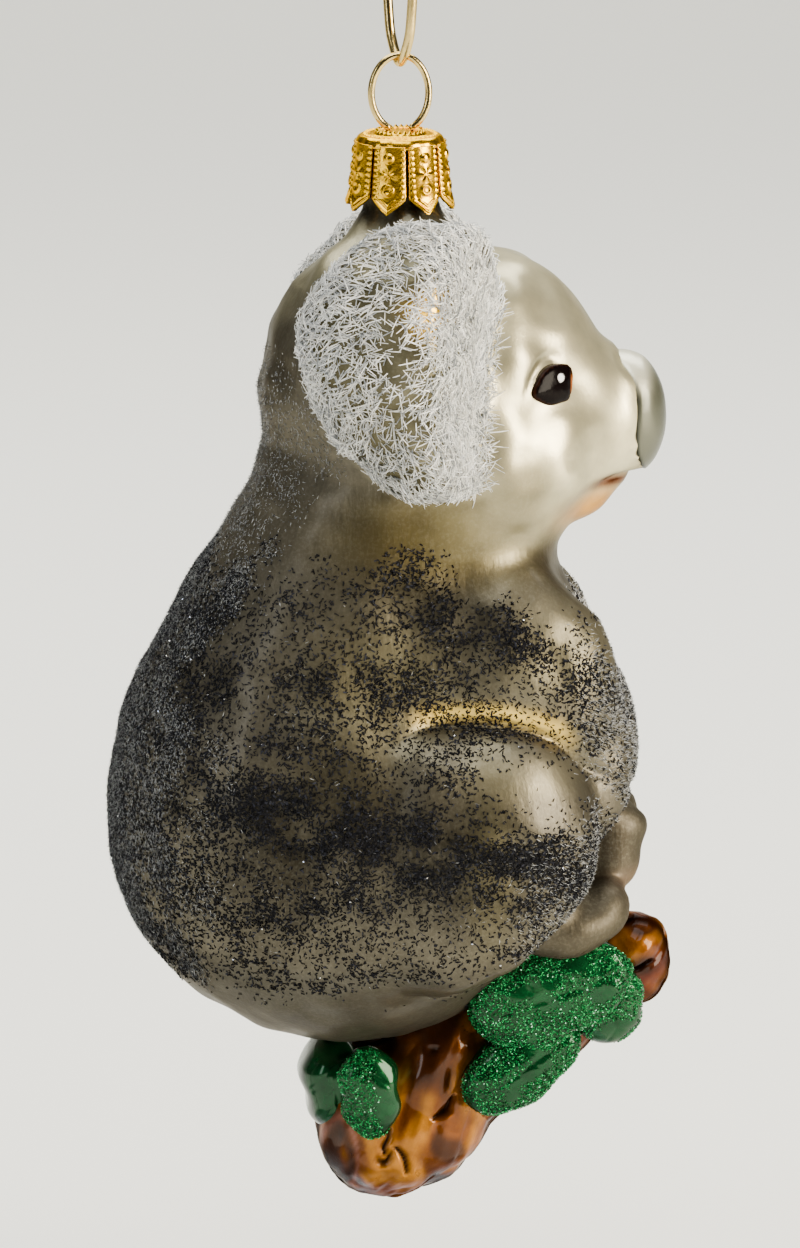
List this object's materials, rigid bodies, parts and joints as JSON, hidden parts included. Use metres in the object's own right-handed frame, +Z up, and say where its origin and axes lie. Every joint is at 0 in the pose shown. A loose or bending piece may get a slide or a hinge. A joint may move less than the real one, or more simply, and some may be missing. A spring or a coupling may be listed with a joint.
{
  "type": "koala glass ornament",
  "caption": "Mouth-blown painted glass ornament of a koala on a leafy forked branch, hung by its crown cap and ring from a wire hook on a plain display stand",
  "frame": {"origin": "on the underside of the stand's base, straight below the hook, the ring and the cap", "axes": "+X the way the koala faces, +Y its left side, +Z up"},
  "size_m": [0.0966, 0.06, 0.1712],
  "materials": {
    "fur_lacquer": "silvered glass under satin taupe lacquer, dusted with grey flock and black glitter",
    "face_lacquer": "silvered glass under pearl-white satin lacquer",
    "nose_lacquer": "glossy grey pearl lacquer",
    "eye_enamel": "glossy dark brown enamel",
    "ear_flock": "glass covered in short white fibre",
    "bark_lacquer": "clear amber-brown lacquer over silvering",
    "leaf_lacquer": "clear green lacquer over silvering, with green glitter",
    "cap_brass": "bright, embossed",
    "wire_brass": "bright, plated wire",
    "stand_steel": "satin pale grey"
  },
  "bodies": {
    "stand": {"stand_arm": "stand_steel", "stand_base": "stand_steel", "stand_bend": "stand_steel", "stand_knob": "stand_steel", "stand_post": "stand_steel"},
    "hook": {"hook": "wire_brass"},
    "ornament": {"branch_butt": "bark_lacquer", "branch_front": "bark_lacquer", "branch_seat": "bark_lacquer", "branch_stub": "bark_lacquer", "cap": "cap_brass", "chin": "face_lacquer", "ear_left": "ear_flock", "ear_right": "ear_flock", "eye_left": "eye_enamel", "eye_right": "eye_enamel", "foot_left": "fur_lacquer", "foot_right": "fur_lacquer", "forearm_left": "fur_lacquer", "forearm_right": "fur_lacquer", "hand_left": "fur_lacquer", "hand_right": "fur_lacquer", "head": "face_lacquer", "leaf_front_left": "leaf_lacquer", "leaf_front_right": "leaf_lacquer", "leaf_low_left": "leaf_lacquer", "leaf_low_right": "leaf_lacquer", "leaf_rear_left": "leaf_lacquer", "leaf_rear_right": "leaf_lacquer", "leaf_tail": "leaf_lacquer", "leaf_top_left": "leaf_lacquer", "leaf_top_right": "leaf_lacquer", "neck": "fur_lacquer", "nose": "nose_lacquer", "ring": "wire_brass", "thigh_left": "fur_lacquer", "thigh_right": "fur_lacquer", "trunk": "fur_lacquer", "upper_arm_left": "fur_lacquer", "upper_arm_right": "fur_lacquer"}
  },
  "joints": [
    {"name": "hook_sway", "type": "hinge", "parent": "stand", "child": "hook", "pos_m": [0, 0, 0.16805], "axis": [1, 0, 0], "range_deg": [-25, 25]},
    {"name": "ornament_swing", "type": "hinge", "parent": "hook", "child": "ornament", "pos_m": [0, 0, 0.15105], "axis": [-0.4067, 0.9135, 0], "range_deg": [-25, 11]}
  ]
}
